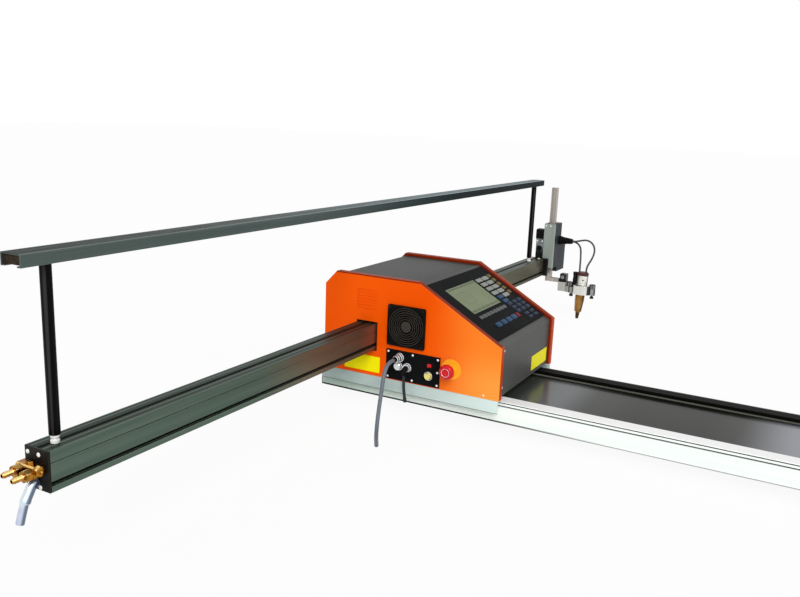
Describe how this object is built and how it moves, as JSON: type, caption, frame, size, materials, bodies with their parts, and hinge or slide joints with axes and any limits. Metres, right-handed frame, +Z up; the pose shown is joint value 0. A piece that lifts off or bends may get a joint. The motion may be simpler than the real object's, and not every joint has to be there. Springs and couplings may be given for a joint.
{
  "type": "portable cnc cutting machine",
  "caption": "Portable gantry-type plate cutting machine: a host that rolls along a floor rail, a sliding cross beam through it, and a motor lifter with a cutting torch at the far end.",
  "frame": {"origin": "on the floor, under the middle of the rail, at the underside of the middle bearer", "axes": "+X along the rail away from the parked host, +Y along the cross beam towards the torch, +Z up"},
  "size_m": [2.5, 2.4745, 0.537],
  "materials": {
    "rail_silver": "satin anodised",
    "bearer_black": "matt",
    "steel": "machined",
    "case_orange": "semi-gloss",
    "case_grey": "fine texture",
    "skirt_silver": "semi-gloss",
    "panel_black": "matt",
    "lens": "glossy",
    "supply_metal": "plain",
    "black_plastic": "matt",
    "red_plastic": "glossy",
    "yellow_plastic": "glossy",
    "button_cream": "glossy",
    "beam_grey": "satin anodised",
    "plate_black": "matt",
    "channel_steel": "zinc plated",
    "brass": "turned",
    "lifter_plate": "satin anodised",
    "lifter_grey": "satin",
    "chrome": "polished",
    "torch_red": "satin",
    "cable_grey": "smooth",
    "lead_black": "smooth"
  },
  "bodies": {
    "rail": {"rail_profile": "rail_silver", "rail_end_caps": "rail_silver", "rail_bearers": "bearer_black", "rail_rack": "steel"},
    "carriage": {"carriage_base": "steel", "side_skirts": "skirt_silver", "front_side_plate": "case_orange", "rear_side_plate": "case_orange", "cover_shell": "case_grey", "control_panel": "panel_black", "display_lens": "lens", "controller_unit": "supply_metal", "power_supply": "supply_metal", "fan_guard": "black_plastic", "socket_panel": "panel_black", "cable_sockets": "black_plastic", "estop_base": "yellow_plastic", "bearing_frames": "steel", "drive_motors": "plate_black", "control_cable": "cable_grey", "signal_lead": "lead_black", "control_plug": "lead_black", "lead_plug": "lead_black"},
    "beam": {"beam_profile": "beam_grey", "beam_rack": "steel", "beam_end_plates": "plate_black", "hanger_channel": "channel_steel", "hanger_posts": "channel_steel", "gas_manifold": "brass", "hose_tails": "brass", "supply_pipe": "chrome", "lifter_bracket": "plate_black", "lifter_front_plate": "lifter_plate", "lifter_housing": "lifter_grey", "lift_motor": "plate_black", "hose_gland": "black_plastic", "torch_hose_near": "lead_black", "torch_hose_far": "lead_black"},
    "torch_slide": {"slide_bar": "chrome", "arm_block": "plate_black", "clamp_ring": "lifter_plate", "arm_fasteners": "brass", "torch_body": "chrome", "torch_cap": "torch_red", "torch_nozzle": "brass"},
    "left_wheelset": {"left_wheelset": "steel"},
    "right_wheelset": {"right_wheelset": "steel"},
    "x_pinion": {"x_pinion": "steel"},
    "y_pinion": {"y_pinion": "steel"},
    "fan_rotor": {"fan_rotor": "black_plastic"},
    "power_rocker": {"power_rocker": "red_plastic"},
    "start_button": {"start_button": "button_cream"},
    "estop_head": {"estop_head": "red_plastic"},
    "low_front_roller": {"low_front_roller": "steel"},
    "low_rear_roller": {"low_rear_roller": "steel"},
    "high_front_roller": {"high_front_roller": "steel"},
    "high_rear_roller": {"high_rear_roller": "steel"},
    "lift_pinion": {"lift_pinion": "steel"}
  },
  "joints": [
    {"name": "carriage_travel", "type": "slide", "parent": "rail", "child": "carriage", "axis": [1, 0, 0], "range_m": [0, 1.95]},
    {"name": "beam_travel", "type": "slide", "parent": "carriage", "child": "beam", "axis": [0, 1, 0], "range_m": [-0.68, 0.84]},
    {"name": "torch_lift", "type": "slide", "parent": "beam", "child": "torch_slide", "axis": [0, 0, 1], "range_m": [0, 0.04], "deforming": ["torch_hose_near", "torch_hose_far"]},
    {"name": "estop_press", "type": "slide", "parent": "carriage", "child": "estop_head", "axis": [0, 1, 0], "range_m": [0, 0.006]},
    {"name": "start_button_press", "type": "slide", "parent": "carriage", "child": "start_button", "axis": [0, 1, 0], "range_m": [0, 0.003], "stiffness_N_per_m": 400},
    {"name": "power_switch", "type": "hinge", "parent": "carriage", "child": "power_rocker", "pos_m": [-0.91, -0.193, 0.15], "axis": [0, 0, -1], "range_deg": [0, 14]},
    {"name": "fan_spin", "type": "hinge", "parent": "carriage", "child": "fan_rotor", "pos_m": [-0.9795, -0.1805, 0.238], "axis": [0, 1, 0], "continuous": true},
    {"name": "left_wheelset_roll", "type": "hinge", "parent": "carriage", "child": "left_wheelset", "pos_m": [-1.172, 0, 0.1113], "axis": [0, 1, 0], "range_deg": [-5, 4302.2]},
    {"name": "right_wheelset_roll", "type": "hinge", "parent": "carriage", "child": "right_wheelset", "pos_m": [-0.776, 0, 0.1113], "axis": [0, 1, 0], "range_deg": [-5, 4302.2]},
    {"name": "x_pinion_spin", "type": "hinge", "parent": "carriage", "child": "x_pinion", "pos_m": [-0.924, -0.093, 0.077], "axis": [0, 0, 1], "range_deg": [-4067.8, 5]},
    {"name": "y_pinion_spin", "type": "hinge", "parent": "carriage", "child": "y_pinion", "pos_m": [-1.113, 0, 0.1275], "axis": [1, 0, 0], "range_deg": [-1755.1, 1421.8]},
    {"name": "low_front_roller_roll", "type": "hinge", "parent": "carriage", "child": "low_front_roller", "pos_m": [-1.083, -0.133, 0.1432], "axis": [1, 0, 0], "range_deg": [-2411.4, 1953.1]},
    {"name": "low_rear_roller_roll", "type": "hinge", "parent": "carriage", "child": "low_rear_roller", "pos_m": [-1.083, 0.133, 0.1432], "axis": [1, 0, 0], "range_deg": [-2411.4, 1953.1]},
    {"name": "high_front_roller_roll", "type": "hinge", "parent": "carriage", "child": "high_front_roller", "pos_m": [-1.0955, -0.133, 0.2518], "axis": [1, 0, 0], "range_deg": [-1953.1, 2411.4]},
    {"name": "high_rear_roller_roll", "type": "hinge", "parent": "carriage", "child": "high_rear_roller", "pos_m": [-1.0955, 0.133, 0.2518], "axis": [1, 0, 0], "range_deg": [-1953.1, 2411.4]},
    {"name": "lift_pinion_spin", "type": "hinge", "parent": "beam", "child": "lift_pinion", "pos_m": [-1.0555, 1.169, 0.317], "axis": [1, 0, 0], "range_deg": [-171.7, 5]}
  ],
  "couplings": [
    {"joint": "left_wheelset_roll", "follows": "carriage_travel", "rad_per_m": 38.462},
    {"joint": "right_wheelset_roll", "follows": "carriage_travel", "rad_per_m": 38.462},
    {"joint": "x_pinion_spin", "follows": "carriage_travel", "rad_per_m": -36.364},
    {"joint": "y_pinion_spin", "follows": "beam_travel", "rad_per_m": -36.364},
    {"joint": "low_front_roller_roll", "follows": "beam_travel", "rad_per_m": -50},
    {"joint": "low_rear_roller_roll", "follows": "beam_travel", "rad_per_m": -50},
    {"joint": "high_front_roller_roll", "follows": "beam_travel", "rad_per_m": 50},
    {"joint": "high_rear_roller_roll", "follows": "beam_travel", "rad_per_m": 50},
    {"joint": "lift_pinion_spin", "follows": "torch_lift", "rad_per_m": -72.727}
  ]
}
